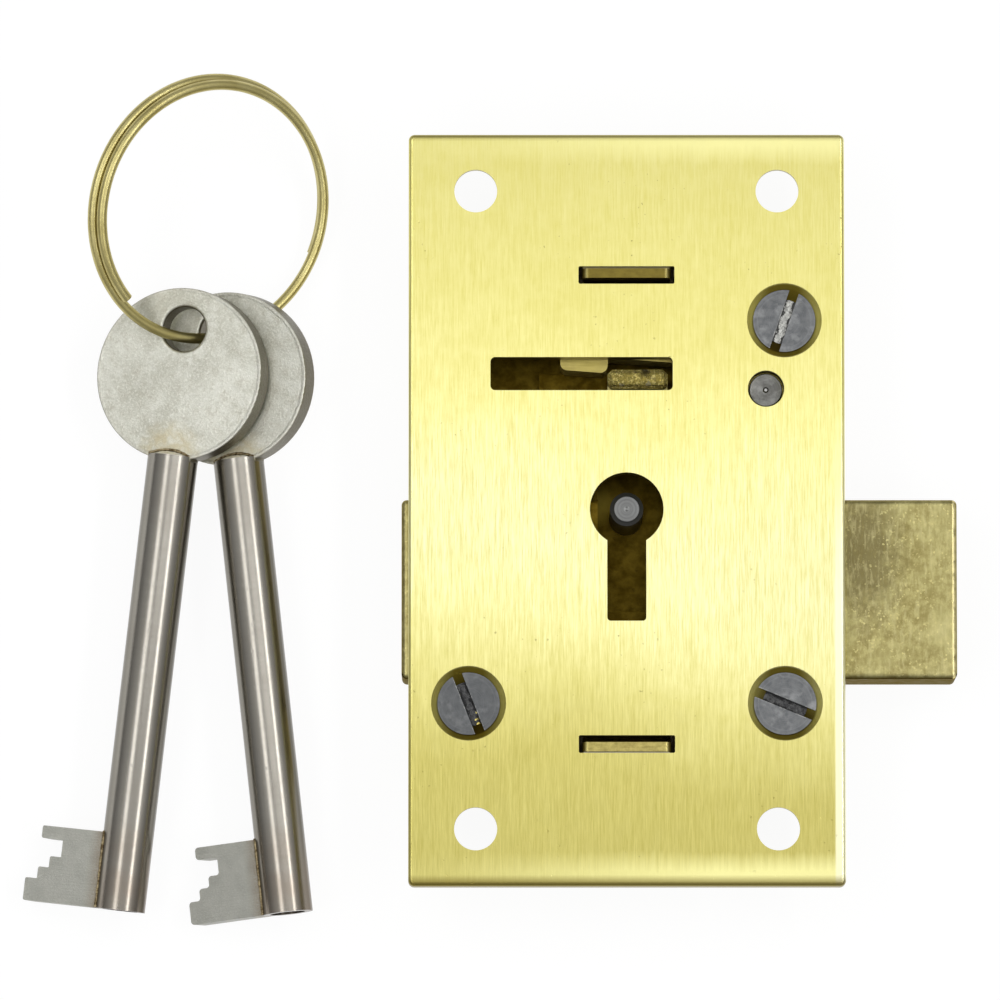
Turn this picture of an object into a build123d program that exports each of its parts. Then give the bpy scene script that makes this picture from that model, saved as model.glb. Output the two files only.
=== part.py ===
from build123d import *
import math
import os

# A straight cupboard lock with four levers, and its two pipe keys on a split ring.
# Millimetres. X runs to the right along the bolt, Y runs towards the top of the plate
# and Z comes out of the plate's face. The origin lies on the axis of the drill pin, in
# the outer face of the case floor, which the lock rests on. The bolt is shot to the
# right and the levers are held at the height where the bolt's stump can pass.

os.makedirs("parts", exist_ok=True)

# Plate and case
plate_width = 37.0
plate_height = 64.0
plate_thickness = 2.0
plate_corner_radius = 0.5
plate_edge_radius = 0.35
sheet = 0.8
case_width = 35.8
case_height = 41.14
case_depth = 7.65
case_corner_radius = 2.0
case_floor_radius = 0.9
tab_width = 7.6
tab_slot_width = 8.15
tab_slot_height = 1.5
tab_slot_inset = 0.2
tab_slot_radius = 0.15
tab_below_face = 0.3
tab_corner_radius = 0.6

# Fixings
fixing_spacing_x = 25.6
fixing_spacing_y = 54.3
fixing_hole_diameter = 3.65
fixing_countersink_diameter = 6.4
screw_inset_x = 4.5
upper_screw_inset_y = 4.47
lower_screw_inset_y = 4.07
screw_diameter = 3.0
screw_clearance = 0.1
screw_countersink_diameter = 6.35
screw_head_below_face = 0.5
screw_head_clearance = 0.03
screw_slot_width = 0.85
screw_slot_depth = 0.75
screw_end_height = 2.4
screw_slot_angles = (71.0, 111.5, -22.4)
post_diameter = 3.8
post_spigot_diameter = 2.4
post_hole_end_height = 1.9

# Key and keyhole
key_shank_diameter = 4.3
key_fit = 0.075
drill_pin_diameter = 2.85
drill_pin_tip_diameter = 2.1
drill_pin_spigot_diameter = 2.4
keyhole_diameter = 6.25
keyhole_slot_width = 3.3
keyhole_slot_end = 9.5
keyhole_corner_radius = 0.3
bolt_step_radius = 8.4
lever_step_radii = (7.35, 6.4, 5.4, 7.35)
bit_step_widths = (1.95, 1.02, 0.97, 1.48, 1.07)
bit_thickness = 2.4
front_bit_corner_radius = 0.17
front_bit_notch_radius = 0.08
back_bit_corner_radius = 0.3
back_bit_notch_radius = 0.25
bow_diameter = 14.8
bow_thickness = 2.1
bow_rim_radius = 0.12
bow_hole_diameter = 3.8
bow_hole_offset = 3.9
bow_hole_rim_radius = 0.3
tang_overlap = 0.6
key_tip_from_bow = 45.9
shank_start_from_bow = 6.95
shank_slot_depth = 3.0
key_bore_depth = 24.0

# Bolt
bolt_left = -19.1
bolt_right = 28.05
bolt_top = 1.0
bolt_bottom = -14.25
bolt_floor_gap = 0.05
bolt_plate_gap = 0.1
bolt_window_gap = 0.2
bolt_edge_radius = 0.45
bolt_throw = 9.4
talon_plate_thickness = 2.0
talon_plate_left = -7.4
talon_plate_right = 16.8
talon_plate_top = 12.2
talon_plate_step_y = 8.05
talon_edge_y = 6.6
talon_width = 3.2
key_room = 0.3
bolt_opening_bottom = -8.6
bolt_opening_radius = 1.0

# Stump and the slot it shows in
stump_left = -1.6
stump_right = 3.5
stump_bottom = 10.3
stump_top = 11.96
stump_below_face = 0.3
stump_chamfer = 0.4
stump_end_overhang = 0.25
stump_slot_left = -11.55
stump_slot_right = 3.92
stump_slot_bottom = 10.13
stump_slot_top = 12.96
stump_slot_radius = 0.4

# Levers, drawn dropped and then lifted to where the bolt passes
pivot_inset_x = 6.07
pivot_y = 10.26
pivot_pin_diameter = 2.8
pivot_running_fit = 0.05
pivot_plate_gap = 0.15
pivot_below_face = 1.2
pivot_collar_diameter = 3.8
pivot_collar_gap = 0.33
pivot_chamfer = 0.06
pivot_nib_diameter = 0.5
pivot_nib_height = 0.12
lever_count = 4
lever_gap = 0.1
lever_plate_gap = 0.2
lever_lift_angle = 4.3
lever_over_lift_angle = 3.0
lever_eye_radius = 2.9
lever_left = -13.0
lever_top = 14.5
lever_slope_start_x = 7.5
lever_left_pocket_top = 12.3
lever_right_pocket_top = 12.12
lever_stop_left = -5.75
lever_stop_right = -1.72
lever_stop_bottom = 10.8
lever_corner_radius = 0.6
corner_reach = 0.15
lever_pocket_right = 4.2
lever_arm_left = -4.8
lever_arm_gap = 0.3
belly_gap = 0.05
belly_depth_share = 0.8
spring_strip = 0.3
spring_side_gap = 0.1
spring_root = (6.0, 13.9)
spring_tip = (-2.0, 17.7)
spring_bend_radius = 14.0

# Ring, and where the ring and the keys lie
ring_wire_diameter = 0.9
ring_mean_radius = 11.02
ring_turn_offset = 0.19
ring_turn_rise = 0.43
ring_upper_end_angle = 219
ring_lower_end_angle = 335
ring_point_angle = 8
full_turn = 360
ring_centre = (-35.37, 25.79, 7.46)
ring_normal = (0.513, -0.246, 0.823)
front_bow_centre = (-37.79, 11.87, 5.24)
front_key_heading_angle = -6.6
front_key_pitch_angle = 1.96
front_key_roll_angle = 17.4
back_bow_centre = (-33.81, 11.67, 3.81)
back_key_heading_angle = 6.3
back_key_pitch_angle = -0.5
back_key_roll_angle = 21.0

# Heights and places that follow from the sizes above
floor_top = sheet
plate_back = case_depth
plate_face = plate_back + plate_thickness
case_inside_x = case_width / 2 - sheet
wall_centre_y = case_height / 2 - sheet / 2
tab_slot_y = wall_centre_y - tab_slot_inset
bolt_low = floor_top + bolt_floor_gap
bolt_high = plate_back - bolt_plate_gap
talon_plate_high = bolt_low + talon_plate_thickness
first_lever_low = talon_plate_high + lever_gap
lever_room = plate_back - lever_plate_gap - talon_plate_high
lever_spacing = lever_room / lever_count
lever_thickness = lever_spacing - lever_gap
spring_height = lever_thickness - 2 * spring_side_gap
pivot_x = case_width / 2 - pivot_inset_x
talon_plate_step_x = pivot_x - pivot_collar_diameter / 2 - pivot_collar_gap
talon_x = bolt_throw / 2
opening_left = -(key_shank_diameter / 2 + key_room)
opening_right = bolt_throw - opening_left
screw_x = case_width / 2 - screw_inset_x
upper_screw_y = case_height / 2 - upper_screw_inset_y
lower_screw_y = -(case_height / 2 - lower_screw_inset_y)
screw_places = (
    (screw_x, upper_screw_y),
    (-screw_x, lower_screw_y),
    (screw_x, lower_screw_y),
)


def block(x_low, x_high, y_low, y_high, z_low, z_high):
    """A box between two limits on each axis."""
    middle = ((x_low + x_high) / 2, (y_low + y_high) / 2, (z_low + z_high) / 2)
    return Pos(*middle) * Box(x_high - x_low, y_high - y_low, z_high - z_low)


def rod(diameter, z_low, z_high, x=0.0, y=0.0):
    """An upright cylinder."""
    middle = (x, y, (z_low + z_high) / 2)
    return Pos(*middle) * Cylinder(diameter / 2, z_high - z_low)


def taper(diameter_low, diameter_high, z_low, z_high, x=0.0, y=0.0):
    """An upright cone frustum."""
    middle = (x, y, (z_low + z_high) / 2)
    return Pos(*middle) * Cone(diameter_low / 2, diameter_high / 2, z_high - z_low)


def prism(points, z_low, z_high):
    """A straight-sided outline raised between two heights."""
    face = make_face(Polyline(*points, close=True))
    return Pos(0, 0, z_low) * extrude(face, z_high - z_low)


def upright_edges(shape, x_low, x_high, y_low, y_high):
    """The vertical edges of a shape that stand within a rectangle."""
    found = []
    for edge in shape.edges().filter_by(Axis.Z):
        middle = edge.center()
        if x_low <= middle.X <= x_high and y_low <= middle.Y <= y_high:
            found.append(edge)
    return found


def make_case():
    """Drawn sheet box with a tab on its top and bottom walls and a notch for the bolt each side."""
    outline = RectangleRounded(case_width, case_height, case_corner_radius)
    outside = extrude(outline, case_depth)
    outside = fillet(outside.faces().sort_by(Axis.Z)[0].edges(), case_floor_radius)
    inside_outline = RectangleRounded(
        case_width - 2 * sheet, case_height - 2 * sheet, case_corner_radius - sheet
    )
    inside = Pos(0, 0, sheet) * extrude(inside_outline, case_depth)
    case = outside - inside
    for side in (-1, 1):
        tab_top = plate_face - tab_below_face
        tab = block(
            -tab_width / 2,
            tab_width / 2,
            side * wall_centre_y - sheet / 2,
            side * wall_centre_y + sheet / 2,
            case_depth - sheet,
            tab_top,
        )
        tip_edges = [
            edge
            for edge in tab.edges().filter_by(Axis.Y)
            if edge.center().Z > case_depth
        ]
        case += fillet(tip_edges, tab_corner_radius)
    for side in (-1, 1):
        wall = sorted((side * (case_inside_x - sheet), side * case_width))
        case -= block(
            wall[0],
            wall[1],
            bolt_bottom - bolt_window_gap,
            bolt_top + bolt_window_gap,
            floor_top,
            case_depth + 1,
        )
    case -= rod(drill_pin_spigot_diameter, -1, case_depth)
    case -= rod(pivot_pin_diameter, -1, case_depth, pivot_x, pivot_y)
    for x, y in screw_places:
        case -= rod(post_spigot_diameter, -1, case_depth, x, y)
    return case


def make_front_plate():
    """Flat brass plate that covers the case, pierced for pin, key, stump, tabs and screws."""
    outline = RectangleRounded(plate_width, plate_height, plate_corner_radius)
    plate = Pos(0, 0, plate_back) * extrude(outline, plate_thickness)
    plate = fillet(plate.faces().sort_by(Axis.Z)[-1].edges(), plate_edge_radius)
    below = plate_back - 1
    above = plate_face + 1
    for side_x in (-1, 1):
        for side_y in (-1, 1):
            x = side_x * fixing_spacing_x / 2
            y = side_y * fixing_spacing_y / 2
            depth = (fixing_countersink_diameter - fixing_hole_diameter) / 2
            plate -= rod(fixing_hole_diameter, below, above, x, y)
            plate -= taper(
                fixing_countersink_diameter,
                fixing_hole_diameter,
                plate_back,
                plate_back + depth,
                x,
                y,
            )
    passage = screw_diameter + 2 * screw_clearance
    for x, y in screw_places:
        depth = (screw_countersink_diameter - passage) / 2
        plate -= rod(passage, below, above, x, y)
        plate -= taper(
            passage, screw_countersink_diameter, plate_face - depth, plate_face, x, y
        )
    plate -= rod(pivot_pin_diameter + 2 * pivot_plate_gap, below, above, pivot_x, pivot_y)
    for side in (-1, 1):
        slot = RectangleRounded(tab_slot_width, tab_slot_height, tab_slot_radius)
        plate -= Pos(0, side * tab_slot_y, below) * extrude(slot, above - below)
    stump_slot = RectangleRounded(
        stump_slot_right - stump_slot_left,
        stump_slot_top - stump_slot_bottom,
        stump_slot_radius,
    )
    slot_x = (stump_slot_left + stump_slot_right) / 2
    slot_y = (stump_slot_bottom + stump_slot_top) / 2
    plate -= Pos(slot_x, slot_y, below) * extrude(stump_slot, above - below)
    key_slot = block(
        -keyhole_slot_width / 2, keyhole_slot_width / 2, -keyhole_slot_end, 0, below, above
    )
    low_corners = upright_edges(
        key_slot, -keyhole_slot_width, keyhole_slot_width, -keyhole_slot_end - 1, -1
    )
    plate -= fillet(low_corners, keyhole_corner_radius)
    plate -= rod(keyhole_diameter, below, above)
    return plate


def make_case_posts():
    """Three tapped pillars riveted into the case floor, which the case screws bite in."""
    posts = []
    for x, y in screw_places:
        post = rod(post_diameter, floor_top, plate_back, x, y)
        post += rod(post_spigot_diameter, 0, floor_top, x, y)
        post -= rod(screw_diameter, post_hole_end_height, plate_back + 1, x, y)
        posts.append(post)
    return Compound(children=posts)


def make_case_screws():
    """Three slotted countersunk screws that hold the plate down."""
    top = plate_face - screw_head_below_face
    head_diameter = (
        screw_countersink_diameter - 2 * screw_head_below_face - 2 * screw_head_clearance
    )
    head_depth = (head_diameter - screw_diameter) / 2
    screws = []
    for (x, y), angle in zip(screw_places, screw_slot_angles):
        screw = rod(screw_diameter, screw_end_height, top - head_depth, x, y)
        screw += taper(screw_diameter, head_diameter, top - head_depth, top, x, y)
        slot = Box(2 * head_diameter, screw_slot_width, 2 * screw_slot_depth)
        screw -= Pos(x, y, top) * Rot(0, 0, angle) * slot
        screws.append(screw)
    return Compound(children=screws)


def make_drill_pin():
    """Upright pin the pipe key turns on, flush with the plate's face."""
    chamfer_depth = (drill_pin_diameter - drill_pin_tip_diameter) / 2
    pin = rod(drill_pin_spigot_diameter, 0, floor_top)
    pin += rod(drill_pin_diameter, floor_top, plate_face - chamfer_depth)
    pin += taper(
        drill_pin_diameter, drill_pin_tip_diameter, plate_face - chamfer_depth, plate_face
    )
    return pin


def make_lever_pivot():
    """Turned pin for the levers, with a collar under the lowest one and a nib on its end."""
    top = plate_face - pivot_below_face
    pin = rod(pivot_pin_diameter, 0, top, pivot_x, pivot_y)
    pin += rod(pivot_collar_diameter, floor_top, talon_plate_high, pivot_x, pivot_y)
    pin = chamfer(pin.faces().sort_by(Axis.Z)[-1].edges(), pivot_chamfer)
    pin += taper(
        pivot_nib_diameter,
        pivot_nib_diameter / 2,
        top,
        top + pivot_nib_height,
        pivot_x,
        pivot_y,
    )
    return pin


def make_bolt():
    """Cast bolt: thick bar through both walls, thin talon plate above it, and the stump."""
    bar = block(bolt_left, bolt_right, bolt_bottom, bolt_top, bolt_low, bolt_high)
    bar = fillet(bar.edges(), bolt_edge_radius)
    inner_y = bolt_top - 2 * bolt_edge_radius
    talon_plate = prism(
        (
            (talon_plate_left, inner_y),
            (talon_plate_left, talon_plate_top),
            (talon_plate_step_x, talon_plate_top),
            (talon_plate_step_x, talon_plate_step_y),
            (talon_plate_right, talon_plate_step_y),
            (talon_plate_right, inner_y),
        ),
        bolt_low,
        talon_plate_high,
    )
    opening = block(
        opening_left,
        opening_right,
        bolt_opening_bottom,
        talon_edge_y,
        bolt_low - 1,
        bolt_high + 1,
    )
    opening = fillet(opening.edges().filter_by(Axis.Z), bolt_opening_radius)
    talon = block(
        talon_x - talon_width / 2,
        talon_x + talon_width / 2,
        talon_edge_y - bolt_opening_radius,
        bolt_step_radius + key_room,
        bolt_low - 1,
        bolt_high + 1,
    )
    stump = block(
        stump_left,
        stump_right,
        stump_bottom,
        stump_top - stump_end_overhang,
        talon_plate_high - bolt_floor_gap,
        plate_back + bolt_plate_gap,
    )
    stump_end = block(
        stump_left,
        stump_right,
        stump_bottom,
        stump_top,
        plate_back + bolt_plate_gap,
        plate_face - stump_below_face,
    )
    top_edges = stump_end.faces().sort_by(Axis.Z)[-1].edges()
    corner_edges = stump_end.edges().filter_by(Axis.Z)
    stump_end = chamfer(top_edges + corner_edges, stump_chamfer)
    return bar + talon_plate - opening - talon + stump + stump_end


def lift(shape, angle):
    """Turns a shape about the levers' pivot, so that its left end rises."""
    about = Pos(pivot_x, pivot_y, 0)
    return about * Rot(0, 0, -angle) * about.inverse() * shape


def make_spring_outline(low, high):
    """One lever's strip spring, drawn with the lever dropped."""
    path = RadiusArc(spring_root, spring_tip, spring_bend_radius)
    return Pos(0, 0, low) * extrude(trace(path, spring_strip), high - low)


def make_lever(number):
    """One lever: bar with the stop that holds the stump, and an arm whose belly the key lifts."""
    low = first_lever_low + number * lever_spacing
    high = low + lever_thickness
    bar = prism(
        (
            (lever_left, lever_left_pocket_top),
            (lever_left, lever_top),
            (lever_slope_start_x, lever_top),
            (pivot_x, pivot_y + lever_eye_radius),
            (pivot_x, pivot_y - lever_eye_radius),
            (lever_pocket_right, pivot_y - lever_eye_radius),
            (lever_pocket_right, lever_right_pocket_top),
            (lever_stop_right, lever_right_pocket_top),
            (lever_stop_right, lever_stop_bottom),
            (lever_stop_left, lever_stop_bottom),
            (lever_stop_left, lever_left_pocket_top),
        ),
        low,
        high,
    )
    stop_corners = upright_edges(
        bar,
        lever_stop_left - corner_reach,
        lever_stop_right + corner_reach,
        lever_stop_bottom - corner_reach,
        lever_stop_bottom + corner_reach,
    )
    bar = fillet(stop_corners, lever_corner_radius)
    end_corners = upright_edges(
        bar,
        lever_left - corner_reach,
        lever_left + corner_reach,
        lever_left_pocket_top,
        lever_top,
    )
    bar = fillet(end_corners, lever_corner_radius)
    bar += rod(2 * lever_eye_radius, low, high, pivot_x, pivot_y)
    bar -= make_spring_outline(low, high)
    lever = lift(bar, lever_lift_angle)

    step_radius = lever_step_radii[number]
    rise = math.sin(math.radians(lever_over_lift_angle))
    arm_top_right = stump_bottom - lever_arm_gap - rise * (pivot_x - lever_pocket_right)
    arm_top_left = stump_bottom - lever_arm_gap - rise * (pivot_x - lever_arm_left)
    belly_y = belly_depth_share * step_radius
    arm = prism(
        (
            (pivot_x, pivot_y - lever_eye_radius / 2),
            (lever_pocket_right, arm_top_right),
            (lever_arm_left, arm_top_left),
            (lever_arm_left, belly_y),
            (-lever_arm_left, belly_y),
            (pivot_x, pivot_y - lever_eye_radius),
        ),
        low,
        high,
    )
    arm -= rod(2 * (step_radius + belly_gap), low - 1, high + 1)
    lever += arm
    lever -= rod(
        pivot_pin_diameter + 2 * pivot_running_fit, low - 1, high + 1, pivot_x, pivot_y
    )
    return lever


def make_lever_spring(number):
    """Flat strip spring held in a slit in the lever's top edge."""
    middle = first_lever_low + number * lever_spacing + lever_thickness / 2
    strip = make_spring_outline(middle - spring_height / 2, middle + spring_height / 2)
    return lift(strip, lever_lift_angle)


def ring_point(angle_along):
    """A point of the ring wire's centre line, by the angle run from the wire's lower end."""
    doubled = (ring_upper_end_angle - ring_lower_end_angle) % full_turn
    crossing = full_turn - doubled
    share = min(max((angle_along - doubled) / crossing, 0), 1)
    ease = share * share * (3 - 2 * share)
    side = 1 - 2 * ease
    radius = ring_mean_radius + ring_turn_offset * side
    angle = math.radians(ring_lower_end_angle + angle_along)
    return (radius * math.cos(angle), radius * math.sin(angle), -ring_turn_rise * side)


def make_key_ring():
    """Split ring of round wire, doubled over two thirds of its way round."""
    doubled = (ring_upper_end_angle - ring_lower_end_angle) % full_turn
    steps = round((full_turn + doubled) / ring_point_angle)
    flat_x = Vector(1, 0, 0) - Vector(*ring_normal) * ring_normal[0]
    plane = Plane(origin=ring_centre, x_dir=flat_x, z_dir=ring_normal)
    points = [
        plane.from_local_coords(Vector(*ring_point((full_turn + doubled) * step / steps)))
        for step in range(steps + 1)
    ]
    path = Spline(*points)
    section = Plane(origin=path @ 0, z_dir=path % 0) * Circle(ring_wire_diameter / 2)
    return sweep(section, path=path)


def lay_key(shape, bow_centre, heading, pitch, roll):
    """Puts a key piece, drawn about its bow's centre with its bit to the left, where it lies."""
    turned = Rot(0, 0, heading) * Rot(pitch, 0, 0) * Rot(0, -roll, 0)
    return Pos(*bow_centre) * turned * shape


def along_key(diameter, y_low, y_high):
    """A cylinder along the key's own length."""
    middle = (0, (y_low + y_high) / 2, 0)
    return Pos(*middle) * Rot(90, 0, 0) * Cylinder(diameter / 2, y_high - y_low)


def make_bow():
    """Plain round bow with a hole for the ring and a tang that enters the shank."""
    bow = Cylinder(bow_diameter / 2, bow_thickness)
    bow = fillet(bow.edges().filter_by(GeomType.CIRCLE), bow_rim_radius)
    bow -= Pos(0, bow_hole_offset, 0) * Cylinder(bow_hole_diameter / 2, 2 * bow_thickness)
    hole_rims = [
        edge
        for edge in bow.edges().filter_by(GeomType.CIRCLE)
        if edge.arc_center.Y > bow_hole_offset / 2
    ]
    bow = fillet(hole_rims, bow_hole_rim_radius)
    half = key_shank_diameter / 2
    tang_end = shank_start_from_bow + shank_slot_depth
    tang = block(
        -half,
        half,
        -tang_end,
        -shank_start_from_bow + tang_overlap,
        -bow_thickness / 2,
        bow_thickness / 2,
    )
    tang &= along_key(key_shank_diameter, -key_tip_from_bow, 0)
    return bow + tang


def make_shank():
    """Tube that slips over the drill pin, slotted at its other end for the bow."""
    shank = along_key(key_shank_diameter, -key_tip_from_bow, -shank_start_from_bow)
    bore = drill_pin_diameter + 2 * key_fit
    shank -= along_key(bore, -key_tip_from_bow - 1, key_bore_depth - key_tip_from_bow)
    slot_end = shank_start_from_bow + shank_slot_depth
    shank -= block(
        -bow_diameter,
        bow_diameter,
        -slot_end,
        0,
        -bow_thickness / 2,
        bow_thickness / 2,
    )
    return shank


def edges_at(shape, places):
    """The vertical edges of a shape at some places."""
    found = []
    for x, y in places:
        found += upright_edges(
            shape, x - corner_reach, x + corner_reach, y - corner_reach, y + corner_reach
        )
    return found


def make_bit(corner_radius, notch_radius):
    """Stepped bit on the shank's side: the bolt's step at the tip, then one for each lever."""
    radii = (bolt_step_radius,) + lever_step_radii
    start = -key_tip_from_bow
    outline = [(0, start)]
    corners = [(-radii[0], start)]
    notches = []
    for radius, next_radius, width in zip(radii, radii[1:] + (0,), bit_step_widths):
        outline += [(-radius, start), (-radius, start + width)]
        start += width
        corners.append((-max(radius, next_radius), start))
        if next_radius:
            notches.append((-min(radius, next_radius), start))
    outline.append((0, start))
    bit = prism(outline, -bit_thickness / 2, bit_thickness / 2)
    bit = fillet(edges_at(bit, corners), corner_radius)
    bit = fillet(edges_at(bit, notches), notch_radius)
    return bit - along_key(key_shank_diameter, -key_tip_from_bow - 1, 0)


def write(shape, name):
    """Writes one sub-part to its own file."""
    shape.label = name
    export_step(shape, "parts/" + name + ".step")


def main():
    write(make_case(), "case")
    write(make_front_plate(), "front_plate")
    write(make_case_posts(), "case_posts")
    write(make_case_screws(), "case_screws")
    write(make_drill_pin(), "drill_pin")
    write(make_lever_pivot(), "lever_pivot")
    write(make_bolt(), "bolt")
    for number in range(lever_count):
        write(make_lever(number), "lever_" + str(number + 1))
        write(make_lever_spring(number), "lever_spring_" + str(number + 1))
    write(make_key_ring(), "key_ring")
    keys = (
        (
            "front_key",
            front_bow_centre,
            front_key_heading_angle,
            front_key_pitch_angle,
            front_key_roll_angle,
            make_bit(front_bit_corner_radius, front_bit_notch_radius),
        ),
        (
            "back_key",
            back_bow_centre,
            back_key_heading_angle,
            back_key_pitch_angle,
            back_key_roll_angle,
            make_bit(back_bit_corner_radius, back_bit_notch_radius),
        ),
    )
    for name, centre, heading, pitch, roll, bit in keys:
        write(lay_key(make_bow(), centre, heading, pitch, roll), name + "_bow")
        write(lay_key(make_shank(), centre, heading, pitch, roll), name + "_shank")
        write(lay_key(bit, centre, heading, pitch, roll), name + "_bit")


main()
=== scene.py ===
import math

import bpy
from mathutils import Matrix, Vector, noise


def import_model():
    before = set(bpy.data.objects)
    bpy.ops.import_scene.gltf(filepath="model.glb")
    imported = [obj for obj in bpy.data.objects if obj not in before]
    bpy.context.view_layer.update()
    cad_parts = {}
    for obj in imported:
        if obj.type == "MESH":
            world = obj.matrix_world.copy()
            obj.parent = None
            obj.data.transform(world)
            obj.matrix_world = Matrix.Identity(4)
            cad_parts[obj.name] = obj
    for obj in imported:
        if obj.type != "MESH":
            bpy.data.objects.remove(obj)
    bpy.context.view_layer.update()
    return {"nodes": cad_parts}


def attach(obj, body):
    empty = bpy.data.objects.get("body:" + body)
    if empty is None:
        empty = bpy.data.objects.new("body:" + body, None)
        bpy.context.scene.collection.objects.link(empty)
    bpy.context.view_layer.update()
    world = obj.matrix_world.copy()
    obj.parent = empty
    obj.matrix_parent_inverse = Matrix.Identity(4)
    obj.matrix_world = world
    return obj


# The lock and its keys get their finishes, and the small forms that the solids leave out:
# the brazing at the bits and the bows, dark beads of painted shade in the ends of the tab
# slots, and the rough end of the bolt's stump. The frame is in metres, and each size and
# place below is in millimetres.

MM = 0.001
X, Y, Z = range(3)

# Camera and light
VIEW_TILT = 5.6
VIEW_CENTRE = (-10.74, 0.767, 9.65)
VIEW_WIDTH = 84.75
LENS = 400.0
SENSOR = 36.0
SKY_TOP = 0.62
SKY_MIDDLE = 0.50
SKY_MIDDLE_AT = 0.6
SKY_HORIZON = 0.13
# Each side lamp: angle from straight above, distance, width, length, radiance
SIDE_LAMPS = {
    "lamp_left": (-25.0, 450.0, 100.0, 520.0, 2.5),
    "lamp_right": (32.0, 450.0, 50.0, 520.0, 6.4),
}
TOP_LAMP_DISTANCE = 170.0
TOP_LAMP_SIZE = (88.0, 56.0)
TOP_LAMP_RADIANCE = 1.045
TOP_LAMP_AIM = (0.0, -2.0, 9.65)
FLOOR_GLOW = 0.9
FLOOR_WHITE = 1.03
FLOOR_SIZE = 6000.0
FLOOR_GAP = 0.002
PAPER = (0.95, 0.95, 0.95, 1.0)
CLIP_NEAR = 10.0
CLIP_FAR = 20000.0

# Places on the lock, as in the solids
SHEET = 0.8
CASE_WIDTH = 35.8
CASE_HEIGHT = 41.14
PLATE_BACK = 7.65
PLATE_FACE = 9.65
PLATE_SIDE = 18.5
PLATE_END = 32.0
PLATE_RIM = 1.0
TAB_SLOT_END = 4.075
TAB_SLOT_RISE = 0.75
TAB_SLOT_Y = 19.97
SCREW_TOP = 9.15
SCREW_SLOT_DEPTH = 0.75
SCREW_SLOT_HALF = 0.425
SCREW_RADIUS = 2.6
RECESS_EDGE = 3.4
SCREWS = ((13.4, 16.1), (-13.4, -16.5), (13.4, -16.5))
UPPER_RIGHT, LOWER_LEFT = 0, 1
SCREW_TURNS = (71.0, 111.5, -22.4)
PIVOT = (11.83, 10.26)

# The dark beads of painted shade in the ends of the tab slots, how metallic oily brass is, and a
# painted pool of light on the case floor
SLOT_END_BEAD_RADIUS = 0.2
SLOT_END_BEAD_STEPS = 6
OIL_METAL = 0.4
FLOOR_LIGHT_POOL = (-2.3, 1.2)

# Bolt: a patch of painted shade near the plate, the edges of its bar, where oil ends, and where
# painted shade darkens the oil
BOLT_SHADE = (20.0, -3.5)
BOLT_SHADE_SQUASH = 0.55
BOLT_FACE = 7.55
BOLT_END = 28.05
BOLT_BOTTOM = -14.25
BOLT_TOP = 1.0
BOLT_DRAWN_OUT = -8.5
BOLT_WINDOW_LOW = -8.4
STUMP_LOW = 8.2

# Rough end of the stump: its corners, its heights, a dip across it, and a hollow where shade is
# painted. Its lumps and grains each have a height and a number per mm.
BREAK_LOW = (-1.4, 10.5)
BREAK_HIGH = (3.3, 11.76)
BREAK_FOOT = 9.0
BREAK_SHOULDER = 9.17
BREAK_RISE = 0.34
BREAK_ROUND = 0.3
BREAK_DIP = 1.6
BREAK_DIP_WIDTH = 0.22
BREAK_DIP_DEPTH = 0.3
BREAK_DIP_LEAST = 0.3
BREAK_HOLLOW = (1.6, 11.65)
BREAK_LUMPS = (0.16, 2.3)
BREAK_GRAINS = (0.07, 6.5)
BREAK_COLUMNS = 42
BREAK_ROWS = 12

# Keys: the place of the bow's centre, then heading, pitch and roll in degrees
KEYS = {
    "front_key": ((-37.79, 11.87, 5.24), (-6.6, 1.96, 17.4)),
    "back_key": ((-33.81, 11.67, 3.81), (6.3, -0.5, 21.0)),
}
BOW_RADIUS = 7.4
BOW_HALF = 1.05
SHANK_RADIUS = 2.15
SHANK_START = -6.95
FLANK_LEAN = math.radians(18.0)
KEY_TIP = -45.9
BIT_LENGTH = 6.49
BIT_HALF = 1.2
BEAD_RADIUS = 0.13
BEAD_WOBBLE = 0.28
BIT_BEAD_STEPS = 14
BOW_BEAD_STEPS = 2
NECK_RISE = 0.45
NECK_POINTS = 8

# Tones, in linear red, green and blue
# Oil, and the dark beads of painted shade in the tab slots
OIL_DEEP = (0.098, 0.061, 0.005)
OIL_PALE = (0.205, 0.138, 0.016)
OIL_SHADE = (0.01, 0.007, 0.001)
SLOT_END_SHADE_DEEP = (0.02, 0.013, 0.003)
SLOT_END_SHADE_PALE = (0.045, 0.031, 0.008)
# Plate
PLATE_PALE = (0.96, 0.91, 0.43)
PLATE_DEEP = (0.77, 0.71, 0.235)
PIT_TONE = (0.32, 0.25, 0.07)
LOWER_SHADE_DEEP = (0.465, 0.405, 0.098)
LOWER_SHADE_PALE = (0.595, 0.525, 0.142)
UPPER_SHADE = (0.66, 0.58, 0.12)
MIDDLE_HIGHLIGHT_DEEP = (0.745, 0.70, 0.28)
MIDDLE_HIGHLIGHT_PALE = (0.955, 0.92, 0.54)
PLATE_END_HIGHLIGHT = (0.99, 0.94, 0.42)
PLATE_EDGE_HIGHLIGHT = (1.0, 0.97, 0.62)
ROLLED_RIM_SHADE = (0.22, 0.17, 0.035)
WALL_DARK_BROWN = (0.17, 0.13, 0.02)
RECESS_OIL_AND_SHADE = (0.31, 0.24, 0.03)
CREVICE_OIL_AND_SHADOW = (0.09, 0.065, 0.01)
# Case and posts
CASE_PALE = (0.66, 0.57, 0.24)
CASE_DEEP = (0.50, 0.42, 0.16)
FLOOR_LIGHT_POOL_TONE = (0.36, 0.27, 0.04)
LOWER_TAB = (0.50, 0.42, 0.14)
UPPER_TAB = (0.22, 0.17, 0.035)
TAB_BROWN = (0.12, 0.09, 0.02)
TAB_END_HIGHLIGHT = (0.60, 0.53, 0.22)
POST_DEEP = (0.50, 0.42, 0.17)
POST_PALE = (0.70, 0.60, 0.27)
POST_CLOUD = (0.40, 0.32, 0.12)
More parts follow.
